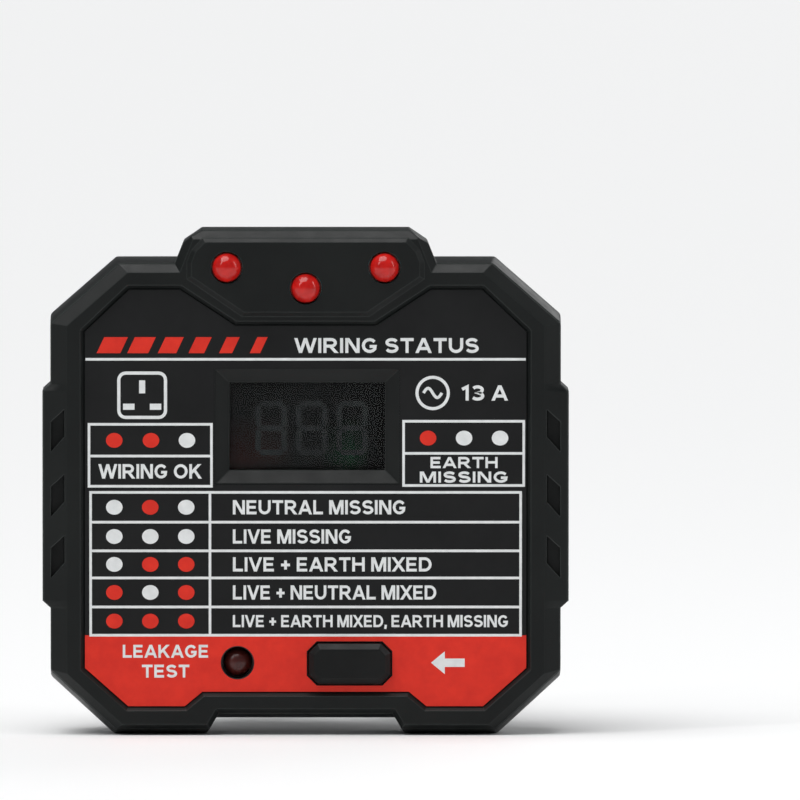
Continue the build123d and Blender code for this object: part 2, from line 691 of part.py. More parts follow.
for name, (point, size, length, margin) in PINS.items():
    sleeved = name != "earth"
    neck = 2 * SLEEVE_WALL if sleeved else 0.0
    bare_from = SLEEVE_END if sleeved else 0.0
    with BuildPart() as pin:
        with BuildSketch(front(-bare_from)):
            with Locations(point):
                Rectangle(*size)
        extrude(amount=bare_from + PIN_TIP - length)
        with BuildSketch(front(PIN_TIP - length)):
            with Locations(point):
                Rectangle(*size)
        with BuildSketch(front(-length)):
            with Locations(point):
                Rectangle(size[0] - 1.9, size[1] - 1.9)
        loft(ruled=True)
        with BuildSketch(front(-bare_from)):
            with Locations(point):
                Rectangle(size[0] - neck, size[1] - neck)
        extrude(amount=bare_from + PLATE_THICK)
        with BuildSketch(front(PLATE_THICK)):
            with Locations(point):
                Rectangle(size[0] + FLANGE_GROWTH, size[1] + FLANGE_GROWTH)
        extrude(amount=FLANGE_THICK)
        with BuildSketch(front(PLATE_THICK + FLANGE_THICK)):
            with Locations(point):
                Rectangle(*TAIL)
        extrude(amount=TAIL_DEPTH - PLATE_THICK - FLANGE_THICK)
    pin.part.label = name + "_pin"
    export_step(pin.part, f"parts/{name}_pin.step")
    with BuildPart() as collar:
        with BuildSketch(front(COLLAR_SEAT)):
            with Locations(point):
                Rectangle(size[0] + 2 * margin, size[1] + 2 * margin)
        extrude(amount=-COLLAR_SEAT - COLLAR_RISE)
        with BuildSketch(front(-COLLAR_RISE)):
            with Locations(point):
                Rectangle(size[0] + margin, size[1] + margin)
        extrude(amount=-COLLAR_STEP)
        with BuildSketch(front(COLLAR_SEAT)):
            with Locations(point):
                Rectangle(*size)
        extrude(amount=-COLLAR_SEAT - COLLAR_RISE - COLLAR_STEP, mode=Mode.SUBTRACT)
    collar.part.label = name + "_collar"
    export_step(collar.part, f"parts/{name}_collar.step")
    if sleeved:
        with BuildPart() as sleeve:
            with BuildSketch(front(COLLAR_SEAT)):
                with Locations(point):
                    Rectangle(*size)
                    Rectangle(size[0] - neck, size[1] - neck, mode=Mode.SUBTRACT)
            extrude(amount=-COLLAR_SEAT - SLEEVE_END)
        sleeve.part.label = name + "_sleeve"
        export_step(sleeve.part, f"parts/{name}_sleeve.step")

with BuildPart() as pin_plate:
    with BuildSketch(Plane.XZ):
        Polygon(*octagon(PLATE_HALF, PLATE_CORNER), align=None)
    extrude(amount=PLATE_THICK)
    with BuildSketch(front(LEDGE_DEPTH)):
        Polygon(*octagon(PLATE_HALF, PLATE_CORNER, 1.2), align=None)
    extrude(amount=PLATE_THICK - LEDGE_DEPTH)
    for point, size, length, margin in PINS.values():
        with BuildSketch(Plane.XZ):
            with Locations(point):
                Rectangle(size[0] + 2 * margin, size[1] + 2 * margin)
        extrude(amount=COLLAR_SEAT, mode=Mode.SUBTRACT)
    with BuildSketch(front(COLLAR_SEAT)):
        with Locations(PINS["earth"][0]):
            Rectangle(*EARTH_SIZE)
        with Locations(PINS["live"][0], PINS["neutral"][0]):
            Rectangle(LINE_SIZE[0] - 2 * SLEEVE_WALL, LINE_SIZE[1] - 2 * SLEEVE_WALL)
    extrude(amount=PLATE_THICK - COLLAR_SEAT, mode=Mode.SUBTRACT)
    with BuildSketch(front(PLATE_THICK)):
        with Locations(*RETAINER_SCREWS):
            Circle(SCREW_PILOT)
    extrude(amount=-2.0, mode=Mode.SUBTRACT)
pin_plate.part.label = "pin_plate"
export_step(pin_plate.part, "parts/pin_plate.step")

with BuildPart() as pin_retainer:
    with BuildSketch(front(PLATE_THICK)):
        Polygon(*octagon(RETAINER_HALF, PLATE_CORNER), align=None)
        with Locations(*RETAINER_SCREWS):
            Circle(SCREW_PILOT + SCREW_CLEARANCE, mode=Mode.SUBTRACT)
    extrude(amount=RETAINER_THICK)
    with BuildSketch(front(PLATE_THICK)):
        for point, size, length, margin in PINS.values():
            with Locations(point):
                Rectangle(size[0] + FLANGE_GROWTH, size[1] + FLANGE_GROWTH)
    extrude(amount=FLANGE_THICK, mode=Mode.SUBTRACT)
    with BuildSketch(front(PLATE_THICK)):
        for point, size, length, margin in PINS.values():
            with Locations(point):
                Rectangle(*TAIL)
    extrude(amount=RETAINER_THICK, mode=Mode.SUBTRACT)
pin_retainer.part.label = "pin_retainer"
export_step(pin_retainer.part, "parts/pin_retainer.step")


def screws(points, head_seat, shank_length):
    """Pan-head screws: the shank runs one way from head_seat and the head stands the other way."""
    head_radius, head_height = SCREW_HEAD
    with BuildPart() as group:
        for point in points:
            with BuildSketch(front(head_seat)):
                with Locations(point):
                    Circle(head_radius)
            extrude(amount=-copysign(head_height, shank_length))
            with BuildSketch(front(head_seat)):
                with Locations(point):
                    Circle(SCREW_PILOT - 0.03)
            extrude(amount=shank_length)
    return group


board_screws = screws(BOSSES, BOARD_BACK, BOARD_THICK + 4.0)
board_screws.part.label = "board_screws"
export_step(board_screws.part, "parts/board_screws.step")

retainer_screws = screws(RETAINER_SCREWS, PLATE_THICK + RETAINER_THICK, -RETAINER_THICK - 1.6)
retainer_screws.part.label = "retainer_screws"
export_step(retainer_screws.part, "parts/retainer_screws.step")

# ---------------------------------------------------------------- circuit board and what it carries

BOARD_OUTLINE = [
    (12.3, 31.2),
    (12.3, 28.0),
    (20.6, 28.0),
    (29.4, 20.0),
    (29.4, -20.0),
    (22.4, -26.2),
]
with BuildPart() as main_board:
    with BuildSketch(front(BOARD_BACK)):
        Polygon(*mirrored(BOARD_OUTLINE), align=None)
        with Locations(*BOSSES):
            Circle(SCREW_PILOT + SCREW_CLEARANCE, mode=Mode.SUBTRACT)
    extrude(amount=BOARD_THICK)
main_board.part.label = "main_board"
export_step(main_board.part, "parts/main_board.step")

with BuildPart() as film_capacitor:
    with BuildSketch(front(BOARD_BACK)):
        with Locations((-15.0, 10.0)):
            RectangleRounded(13.0, 6.0, 0.6)
    extrude(amount=-7.0)
    chamfer(film_capacitor.faces().sort_by(Axis.Y)[-1].edges(), length=0.5)
film_capacitor.part.label = "film_capacitor"
export_step(film_capacitor.part, "parts/film_capacitor.step")

with BuildPart() as bulk_capacitor:
    with BuildSketch(Plane.XY.offset(3.0)):
        with Locations((15.0, -BOARD_BACK + 4.05)):
            Circle(4.0)
    extrude(amount=11.0)
    fillet(bulk_capacitor.edges().filter_by(GeomType.CIRCLE), radius=0.5)
bulk_capacitor.part.label = "bulk_capacitor"
export_step(bulk_capacitor.part, "parts/bulk_capacitor.step")

with BuildPart() as varistor:
    with BuildSketch(Plane.YZ.offset(1.0)):
        with Locations((-BOARD_BACK + 4.8, 14.0)):
            Circle(4.5)
    extrude(amount=3.2)
    fillet(varistor.edges().filter_by(GeomType.CIRCLE), radius=1.0)
varistor.part.label = "varistor"
export_step(varistor.part, "parts/varistor.step")

with BuildPart() as fuse_link:
    with BuildSketch(front(BOARD_BACK)):
        with Locations((16.5, -6.0)):
            RectangleRounded(8.4, 4.2, 0.5)
    extrude(amount=-6.5)
fuse_link.part.label = "fuse_link"
export_step(fuse_link.part, "parts/fuse_link.step")

with BuildPart() as bridge_rectifier:
    with BuildSketch(front(BOARD_BACK)):
        with Locations((4.0, -2.0)):
            Rectangle(6.4, 8.3)
    extrude(amount=-2.6)
    chamfer(bridge_rectifier.faces().sort_by(Axis.Y)[-1].edges(), length=0.4)
bridge_rectifier.part.label = "bridge_rectifier"
export_step(bridge_rectifier.part, "parts/bridge_rectifier.step")

with BuildPart() as test_load_resistors:
    for x in (-25.0, -19.5, -14.0):
        with BuildSketch(Plane.XY.offset(-15.0)):
            with Locations((x, -BOARD_BACK + 2.5)):
                Circle(2.2)
        extrude(amount=11.0)
    fillet(test_load_resistors.edges().filter_by(GeomType.CIRCLE), radius=0.6)
test_load_resistors.part.label = "test_load_resistors"
export_step(test_load_resistors.part, "parts/test_load_resistors.step")

with BuildPart() as test_triac:
    with BuildSketch(front(BOARD_BACK)):
        with Locations((-5.0, -12.0)):
            Rectangle(4.6, 3.8)
    extrude(amount=-4.8)
    chamfer(test_triac.faces().sort_by(Axis.Z)[0].edges().filter_by(Axis.Y), length=1.0)
test_triac.part.label = "test_triac"
export_step(test_triac.part, "parts/test_triac.step")

with BuildPart() as controller_chip:
    with BuildSketch(front(BOARD_FRONT + 0.1)):
        with Locations((-19.0, -6.0)):
            Rectangle(7.0, 7.0)
    extrude(amount=1.4)
controller_chip.part.label = "controller_chip"
export_step(controller_chip.part, "parts/controller_chip.step")

with BuildPart() as chip_legs:
    for side in (-1, 1):
        with BuildSketch(front(BOARD_FRONT)):
            with Locations((-19.0 + side * 4.1, -6.0)):
                with GridLocations(0, 0.8, 1, 8):
                    Rectangle(1.1, 0.35)
        extrude(amount=0.6)
chip_legs.part.label = "chip_legs"
export_step(chip_legs.part, "parts/chip_legs.step")

with BuildPart() as chip_resistors:
    with BuildSketch(front(BOARD_FRONT)):
        with Locations((18.5, -4.0)):
            with GridLocations(3.2, 2.4, 4, 4):
                Rectangle(2.0, 1.25)
    extrude(amount=0.5)
chip_resistors.part.label = "chip_resistors"
export_step(chip_resistors.part, "parts/chip_resistors.step")

with BuildPart() as crystal:
    with BuildSketch(front(BOARD_FRONT)):
        with Locations((-19.0, 4.0)):
            SlotOverall(10.5, 4.4)
    extrude(amount=3.2)
    fillet(crystal.faces().sort_by(Axis.Y)[0].edges(), radius=0.5)
crystal.part.label = "crystal"
export_step(crystal.part, "parts/crystal.step")

# ---------------------------------------------------------------- wires from the pins to the board

WIRE_ENDS = {"earth": (0.0, 17.5), "live": (9.0, -17.0), "neutral": (-7.0, -18.0)}
for name, (end_x, end_z) in WIRE_ENDS.items():
    x, z = PINS[name][0]
    route = [
        (x, -TAIL_DEPTH, z),
        (x, -TAIL_DEPTH - 3.2, z),
        (end_x, -BOARD_BACK + 3.2, end_z),
        (end_x, -BOARD_BACK, end_z),
    ]
    with BuildPart() as wire:
        with BuildLine() as path:
            FilletPolyline(*route, radius=2.0)
        with BuildSketch(front(TAIL_DEPTH)):
            with Locations((x, z)):
                Circle(WIRE_RADIUS)
        sweep()
    wire.part.label = name + "_wire"
    export_step(wire.part, f"parts/{name}_wire.step")
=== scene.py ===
import json
import math

import bmesh
import bpy
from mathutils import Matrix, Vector


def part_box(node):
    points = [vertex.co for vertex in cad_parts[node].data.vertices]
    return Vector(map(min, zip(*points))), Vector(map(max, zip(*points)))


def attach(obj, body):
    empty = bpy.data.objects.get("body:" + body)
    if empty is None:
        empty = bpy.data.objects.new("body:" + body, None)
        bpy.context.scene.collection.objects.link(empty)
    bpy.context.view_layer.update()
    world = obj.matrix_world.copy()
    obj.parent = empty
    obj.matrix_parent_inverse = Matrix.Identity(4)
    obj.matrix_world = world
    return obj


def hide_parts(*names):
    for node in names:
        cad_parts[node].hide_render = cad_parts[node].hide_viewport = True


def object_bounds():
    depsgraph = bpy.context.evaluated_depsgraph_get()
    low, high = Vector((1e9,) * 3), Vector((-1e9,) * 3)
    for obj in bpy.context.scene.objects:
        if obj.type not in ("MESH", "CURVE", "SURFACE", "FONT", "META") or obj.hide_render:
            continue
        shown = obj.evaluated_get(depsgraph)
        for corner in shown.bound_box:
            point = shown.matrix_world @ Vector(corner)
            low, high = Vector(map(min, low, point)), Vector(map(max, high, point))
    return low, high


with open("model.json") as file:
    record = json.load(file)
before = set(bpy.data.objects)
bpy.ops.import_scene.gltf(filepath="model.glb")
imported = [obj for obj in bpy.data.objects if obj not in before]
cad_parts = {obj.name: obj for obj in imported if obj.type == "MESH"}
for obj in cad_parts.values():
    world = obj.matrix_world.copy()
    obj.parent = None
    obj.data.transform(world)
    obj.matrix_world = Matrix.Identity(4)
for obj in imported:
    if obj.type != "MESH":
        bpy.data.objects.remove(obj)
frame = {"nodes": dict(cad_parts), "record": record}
cad_low, cad_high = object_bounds()
nodes = frame["nodes"]
MM = 0.001
WELD_DISTANCE = 1e-6

# ---------------------------------------------------------------- materials


# Agreement of bevelled and true normal at which the painted edge highlight is full, and at which
# there is none
EDGE_FULL, EDGE_NONE = 0.86, 0.995


class Look:
    """A procedural material: a Principled shader with object-space noise behind it."""

    def __init__(self, name, colour, roughness, metallic=0.0):
        self.material = bpy.data.materials.new(name)
        self.material.use_nodes = True
        self.tree = self.material.node_tree
        self.nodes = self.tree.nodes
        self.shader = self.nodes["Principled BSDF"]
        self.set("Base Color", (*colour, 1.0))
        self.set("Roughness", roughness)
        self.set("Metallic", metallic)
        self.coords = self.nodes.new("ShaderNodeTexCoord")
        self.normal = None

    def set(self, socket, value):
        self.shader.inputs[socket].default_value = value
        return self

    def link(self, a, b):
        self.tree.links.new(a, b)

    def noise(self, scale, detail=3.0, rough=0.55, stretch=(1, 1, 1)):
        """Noise whose features are about 1 / scale metres."""
        mapping = self.nodes.new("ShaderNodeMapping")
        mapping.inputs["Scale"].default_value = stretch
        self.link(self.coords.outputs["Object"], mapping.inputs["Vector"])
        texture = self.nodes.new("ShaderNodeTexNoise")
        texture.inputs["Scale"].default_value = scale
        texture.inputs["Detail"].default_value = detail
        texture.inputs["Roughness"].default_value = rough
        self.link(mapping.outputs["Vector"], texture.inputs["Vector"])
        return texture.outputs["Fac"]

    def ramp(self, fac, stops):
        """Colour or grey level by position along a factor: [(position, value)]."""
        ramp = self.nodes.new("ShaderNodeValToRGB")
        elements = ramp.color_ramp.elements
        while len(elements) < len(stops):
            elements.new(0.5)
        for element, (position, value) in zip(elements, stops):
            element.position = position
            colour = value if isinstance(value, tuple) else (value, value, value)
            element.color = (*colour, 1.0)
        self.link(fac, ramp.inputs["Fac"])
        return ramp.outputs["Color"]

    def tint(self, fac, low, high, start=0.3, end=0.7):
        """Colour that varies between low and high."""
        self.link(self.ramp(fac, [(start, low), (end, high)]), self.shader.inputs["Base Color"])
        return self

    def painted_reflection_patches(self, left, middle, right, span=0.0085, top=0.007):
        """Dark glass with two faint coloured reflections painted low down on its left and right."""
        parts = self.nodes.new("ShaderNodeSeparateXYZ")
        self.link(self.coords.outputs["Object"], parts.inputs["Vector"])
        across = self.nodes.new("ShaderNodeMapRange")
        self.link(parts.outputs["X"], across.inputs["Value"])
        across.inputs["From Min"].default_value = -span
        across.inputs["From Max"].default_value = span
        stops = [(0.0, left), (0.42, middle), (0.62, middle), (0.85, right), (1.0, middle)]
        colours = self.ramp(across.outputs["Result"], stops)
        height = self.nodes.new("ShaderNodeMapRange")
        self.link(parts.outputs["Z"], height.inputs["Value"])
        height.inputs["From Min"].default_value = top - 0.002
        height.inputs["From Max"].default_value = top + 0.0035
        mix = self.nodes.new("ShaderNodeMix")
        mix.data_type = "RGBA"
        self.link(height.outputs["Result"], mix.inputs["Factor"])
        self.link(colours, mix.inputs["A"])
        mix.inputs["B"].default_value = (*middle, 1.0)
        self.link(mix.outputs["Result"], self.shader.inputs["Base Color"])
        return self

    def gloss(self, fac, low, high, start=0.3, end=0.7):
        """Roughness that varies between low and high."""
        self.link(self.ramp(fac, [(start, low), (end, high)]), self.shader.inputs["Roughness"])
        return self

    def relief(self, fac, height, strength=1.0):
        """Bump of the given height in metres, on top of any bump added before."""
        bump = self.nodes.new("ShaderNodeBump")
        bump.inputs["Strength"].default_value = strength
        bump.inputs["Distance"].default_value = height
        self.link(fac, bump.inputs["Height"])
        if self.normal is not None:
            self.link(self.normal, bump.inputs["Normal"])
        self.normal = bump.outputs["Normal"]
        self.link(self.normal, self.shader.inputs["Normal"])
        return self

    def round_edges_with_painted_highlight(self, radius, painted_highlight=None):
        """Sharp edges catch the light as if rounded to a radius, and get a paler painted highlight.
        """
        node = self.nodes.new("ShaderNodeBevel")
        node.samples = 8
        node.inputs["Radius"].default_value = radius
        self.normal = node.outputs["Normal"]
        if painted_highlight:
            geometry = self.nodes.new("ShaderNodeNewGeometry")
            dot_product = self.nodes.new("ShaderNodeVectorMath")
            dot_product.operation = "DOT_PRODUCT"
            self.link(node.outputs["Normal"], dot_product.inputs[0])
            self.link(geometry.outputs["True Normal"], dot_product.inputs[1])
            # Paler colour painted on sharp edges as a highlight, blended in by how far the bevel
            # bends the normal
            mask = self.ramp(dot_product.outputs["Value"], [(EDGE_FULL, 1.0), (EDGE_NONE, 0.0)])
            surface = self.shader.inputs["Base Color"].links[0].from_socket
            mix = self.nodes.new("ShaderNodeMix")
            mix.data_type = "RGBA"
            self.link(mask, mix.inputs["Factor"])
            self.link(surface, mix.inputs["A"])
            mix.inputs["B"].default_value = (*painted_highlight, 1.0)
            self.link(mix.outputs["Result"], self.shader.inputs["Base Color"])
        return self


def moulded(name, low, high, rough, grain=2600.0, height=0.000012, edge=None, painted_highlight=None):
    """Satin moulded plastic: fine spark-eroded grain, faint flow marks, uneven gloss."""
    look = Look(name, high, rough)
    look.tint(look.noise(90.0, 4.0), low, high)
    if edge:
        look.round_edges_with_painted_highlight(edge, painted_highlight)
    look.gloss(look.noise(420.0, 5.0), rough - 0.06, rough + 0.08)
    look.relief(look.noise(grain, 2.0, 0.7), height)
    look.relief(look.noise(160.0, 2.0), height * 1.5, 0.5)
    return look


def brushed(name, colour, rough, stretch, scale=900.0, height=0.000004):
    """Plated or drawn metal with fine lines along one axis."""
    look = Look(name, colour, rough, 1.0)
    lines = look.noise(scale, 4.0, 0.6, stretch)
    darker = tuple(c * 0.86 for c in colour)
    look.tint(lines, darker, colour)
    look.gloss(look.noise(260.0, 5.0), rough - 0.05, rough + 0.1)
    look.relief(lines, height)
    return look


SHELL_DARK, SHELL_PALE = (0.0048, 0.0060, 0.0060), (0.0078, 0.0094, 0.0090)
# Colour of the highlight painted along the case's sharp edges
PAINTED_EDGE_HIGHLIGHT = (0.040, 0.046, 0.044)
case_black = moulded("case_black", SHELL_DARK, SHELL_PALE, 0.37, edge=0.22 * MM, painted_highlight=PAINTED_EDGE_HIGHLIGHT)
case_black.set("Specular IOR Level", 0.2)
button_black = moulded("button_black", (0.0045, 0.0050, 0.0050), (0.0075, 0.0080, 0.0080), 0.34)
button_black.set("Specular IOR Level", 0.18)
sleeve_black = moulded("sleeve_black", (0.010, 0.010, 0.011), (0.017, 0.017, 0.018), 0.36)
collar_white = moulded("collar_white", (0.74, 0.74, 0.72), (0.84, 0.84, 0.82), 0.38)
retainer_grey = moulded("retainer_grey", (0.20, 0.21, 0.22), (0.27, 0.28, 0.29), 0.45)
diffuser_white = moulded("diffuser_white", (0.70, 0.72, 0.72), (0.80, 0.82, 0.82), 0.5)
frame_white = moulded("frame_white", (0.62, 0.62, 0.60), (0.72, 0.72, 0.70), 0.5)
zebra_rubber = moulded("zebra_rubber", (0.03, 0.03, 0.03), (0.09, 0.09, 0.09), 0.7)
capacitor_yellow = moulded("capacitor_yellow", (0.62, 0.34, 0.03), (0.74, 0.44, 0.05), 0.42)
capacitor_sleeve = moulded("capacitor_sleeve", (0.012, 0.02, 0.06), (0.02, 0.03, 0.09), 0.3)
varistor_blue = moulded("varistor_blue", (0.02, 0.09, 0.32), (0.03, 0.13, 0.42), 0.35)
fuse_grey = moulded("fuse_grey", (0.28, 0.27, 0.25), (0.42, 0.40, 0.37), 0.5)
chip_black = moulded("chip_black", (0.012, 0.012, 0.012), (0.022, 0.022, 0.022), 0.55)
resistor_green = moulded("resistor_green", (0.10, 0.22, 0.12), (0.16, 0.30, 0.17), 0.5)
switch_plastic = moulded("switch_plastic", (0.015, 0.015, 0.016), (0.028, 0.028, 0.03), 0.4)
wire_green = moulded("wire_green", (0.05, 0.30, 0.04), (0.50, 0.48, 0.03), 0.4)
wire_brown = moulded("wire_brown", (0.10, 0.035, 0.012), (0.15, 0.055, 0.02), 0.4)
wire_blue = moulded("wire_blue", (0.012, 0.05, 0.30), (0.02, 0.08, 0.40), 0.4)
board_green = moulded("board_green", (0.008, 0.09, 0.03), (0.012, 0.14, 0.045), 0.35)

pin_metal = brushed("pin_metal", (0.86, 0.85, 0.82), 0.17, (1, 0.05, 1))
tinned_wire = brushed("tinned_wire", (0.80, 0.80, 0.80), 0.25, (1, 0.1, 1))
screw_steel = brushed("screw_steel", (0.62, 0.62, 0.63), 0.3, (1, 1, 1))
can_metal = brushed("can_metal", (0.78, 0.78, 0.79), 0.25, (0.1, 1, 1))

label_print = Look("label_print", (0.010, 0.0105, 0.011), 0.5)
label_print.set("Specular IOR Level", 0.16)
label_print.tint(label_print.noise(130.0, 4.0), (0.0080, 0.0084, 0.0088), (0.0115, 0.0120, 0.0124))
label_print.gloss(label_print.noise(700.0, 5.0), 0.44, 0.58)
label_print.relief(label_print.noise(1800.0, 2.0, 0.7), 0.000008)

window_clear = Look("window_clear", (0.66, 0.68, 0.68), 0.03)
window_clear.tint(window_clear.noise(80.0, 2.0), (0.62, 0.64, 0.64), (0.70, 0.72, 0.72))
window_clear.gloss(window_clear.noise(300.0, 3.0), 0.02, 0.04)
window_clear.set("Transmission Weight", 1.0).set("IOR", 1.16)

lcd_dark = Look("lcd_dark", (0.006, 0.007, 0.007), 0.12)
# Faint red and green reflections painted low down on the display's dark glass
lcd_dark.painted_reflection_patches((0.030, 0.006, 0.005), (0.005, 0.006, 0.006), (0.003, 0.028, 0.012))
lcd_dark.gloss(lcd_dark.noise(500.0, 4.0), 0.1, 0.16)
lcd_dark.set("Specular IOR Level", 0.1)

lcd_segment = Look("lcd_segment", (0.020, 0.023, 0.022), 0.2)
lcd_segment.tint(lcd_segment.noise(400.0, 3.0), (0.016, 0.018, 0.018), (0.024, 0.027, 0.026))


def lamp_look(name, colour, deep, rough):
    """Tinted epoxy: clear coloured body with a soft glow of scattered light."""
    look = Look(name, colour, rough)
    look.tint(look.noise(650.0, 2.0), deep, colour, 0.25, 0.75)
    look.gloss(look.noise(900.0, 3.0), rough - 0.02, rough + 0.05)
    look.set("Subsurface Weight", 0.35).set("Subsurface Radius", (1.0, 0.15, 0.1))
    look.set("Subsurface Scale", 0.0006).set("Specular IOR Level", 0.3)
    look.set("Coat Weight", 0.15).set("Coat Roughness", 0.04)
    look.relief(look.noise(1500.0, 2.0), 0.000004)
    return look


lamp_red = lamp_look("lamp_red", (0.62, 0.014, 0.010), (0.40, 0.006, 0.005), 0.1)
lamp_dark_red = lamp_look("lamp_dark_red", (0.075, 0.012, 0.009), (0.045, 0.007, 0.006), 0.28)

ink_white = Look("ink_white", (0.72, 0.73, 0.73), 0.55)
ink_white.tint(ink_white.noise(900.0, 4.0), (0.70, 0.72, 0.72), (0.80, 0.82, 0.82))
ink_white.relief(ink_white.noise(2500.0, 2.0), 0.000006)
ink_red = Look("ink_red", (0.70, 0.028, 0.016), 0.5)
ink_red.set("Specular IOR Level", 0.3)
ink_red.tint(ink_red.noise(500.0, 4.0), (0.64, 0.020, 0.009), (0.74, 0.028, 0.012))
ink_red.gloss(ink_red.noise(700.0, 4.0), 0.44, 0.56)
ink_red.relief(ink_red.noise(1800.0, 2.0), 0.000006)

SLOT_LOOKS = {
    "case_black": case_black,
    "button_black": button_black,
    "label_print": label_print,
    "window_clear": window_clear,
    "lcd_dark": lcd_dark,
    "diffuser_white": diffuser_white,
    "frame_white": frame_white,
    "zebra_rubber": zebra_rubber,
    "lamp_red": lamp_red,
    "lamp_dark_red": lamp_dark_red,
    "tinned_wire": tinned_wire,
    "pin_metal": pin_metal,
    "sleeve_black": sleeve_black,
    "collar_white": collar_white,
    "retainer_grey": retainer_grey,
    "screw_steel": screw_steel,
    "board_green": board_green,
    "capacitor_yellow": capacitor_yellow,
    "capacitor_sleeve": capacitor_sleeve,
    "varistor_blue": varistor_blue,
    "fuse_grey": fuse_grey,
    "chip_black": chip_black,
    "resistor_green": resistor_green,
    "can_metal": can_metal,
    "switch_plastic": switch_plastic,
    "wire_green": wire_green,
    "wire_brown": wire_brown,
    "wire_blue": wire_blue,
}


def dress(obj, look):
    obj.data.materials.clear()
    obj.data.materials.append(look.material)


def soften(obj, width, segments=3):
    """Rounds the sharp edges of a CAD node in its modifiers; the node's own mesh stays."""
    weld = obj.modifiers.new("weld", "WELD")
    weld.merge_threshold = WELD_DISTANCE
    flat = obj.modifiers.new("flat", "DECIMATE")
    flat.decimate_type = "DISSOLVE"
    flat.angle_limit = math.radians(0.4)
    bevel = obj.modifiers.new("bevel", "BEVEL")
    bevel.width = width
    bevel.segments = segments
    bevel.limit_method = "ANGLE"
    bevel.angle_limit = math.radians(22)
    bevel.harden_normals = True
    bevel.miter_outer = "MITER_ARC"


for entry in frame["record"]["subparts"]:
    dress(nodes[entry["node"]], SLOT_LOOKS[entry["material_slot"]])

EDGE_ROUNDING = {
    "rcd_button": 0.14 * MM,
    "pin_plate": 0.15 * MM,
    "earth_pin": 0.12 * MM,
    "live_pin": 0.12 * MM,
    "neutral_pin": 0.12 * MM,
    "live_sleeve": 0.08 * MM,
    "neutral_sleeve": 0.08 * MM,
    "earth_collar": 0.1 * MM,
    "live_collar": 0.1 * MM,
    "neutral_collar": 0.1 * MM,
}
for name, width in EDGE_ROUNDING.items():
    soften(nodes[name], width)

# ---------------------------------------------------------------- new pieces


def to_scene(name, bm, look, body):
    """Turns a bmesh into a piece that rides on a body."""
    bmesh.ops.recalc_face_normals(bm, faces=bm.faces)
    mesh = bpy.data.meshes.new(name)
    bm.to_mesh(mesh)
    bm.free()
    obj = bpy.data.objects.new(name, mesh)
    bpy.context.scene.collection.objects.link(obj)
    dress(obj, look)
    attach(obj, body)
    return obj


label_low, label_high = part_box("label_panel")
PRINT_BACK = label_low.y
PRINT_THICK = 0.03 * MM
PRINT_FRONT = PRINT_BACK - PRINT_THICK
LAYER_STEP = 0.004 * MM
SAME_PLACE = 1e-4
MITRE_LIMIT = 0.45
LEVEL_SLOPE = 0.3


def slab(bm, outline, back=PRINT_BACK, front=PRINT_FRONT):
    """A thin raised shape on the label, from an outline of (x, z) in millimetres."""
    rear = [bm.verts.new((x * MM, back, z * MM)) for x, z in outline]
    lead = [bm.verts.new((x * MM, front, z * MM)) for x, z in outline]
    bm.faces.new(lead)
    bm.faces.new(rear[::-1])
    for i in range(len(outline)):
        j = (i + 1) % len(outline)
        bm.faces.new((rear[i], rear[j], lead[j], lead[i]))


def rectangle(x0, x1, z0, z1):
    return [(x0, z0), (x1, z0), (x1, z1), (x0, z1)]


def bar(bm, x0, z0, x1, z1):
    """A printed rule between two points, LINE_WIDTH wide, along X or Z."""
    half = LINE_WIDTH / 2
    if abs(x1 - x0) > abs(z1 - z0):
        slab(bm, rectangle(x0, x1, z0 - half, z0 + half))
    else:
        slab(bm, rectangle(x0 - half, x0 + half, z0, z1))


def dot(bm, x, z, rx=1.08, rz=0.97, segments=32):
    """A printed lamp symbol, slightly wider than it is high."""
    turn = 2 * math.pi / segments
    slab(bm, [(x + rx * math.cos(i * turn), z + rz * math.sin(i * turn)) for i in range(segments)])


def box_rule(bm, x0, x1, z0, z1, divider=None):
    """A printed rectangle, with an optional line across it."""
    half = LINE_WIDTH / 2
    bar(bm, x0 - half, z0, x1 + half, z0)
    bar(bm, x0 - half, z1, x1 + half, z1)
    bar(bm, x0, z0 + half, x0, z1 - half)
    bar(bm, x1, z0 + half, x1, z1 - half)
    if divider is not None:
        bar(bm, x0 + half, divider, x1 - half, divider)


def arc(cx, cy, rx, ry, start, end, steps=12):
    """Points on an ellipse between two angles in degrees."""
    angles = [math.radians(start + (end - start) * i / steps) for i in range(steps + 1)]
    return [(cx + rx * math.cos(t), cy + ry * math.sin(t)) for t in angles]


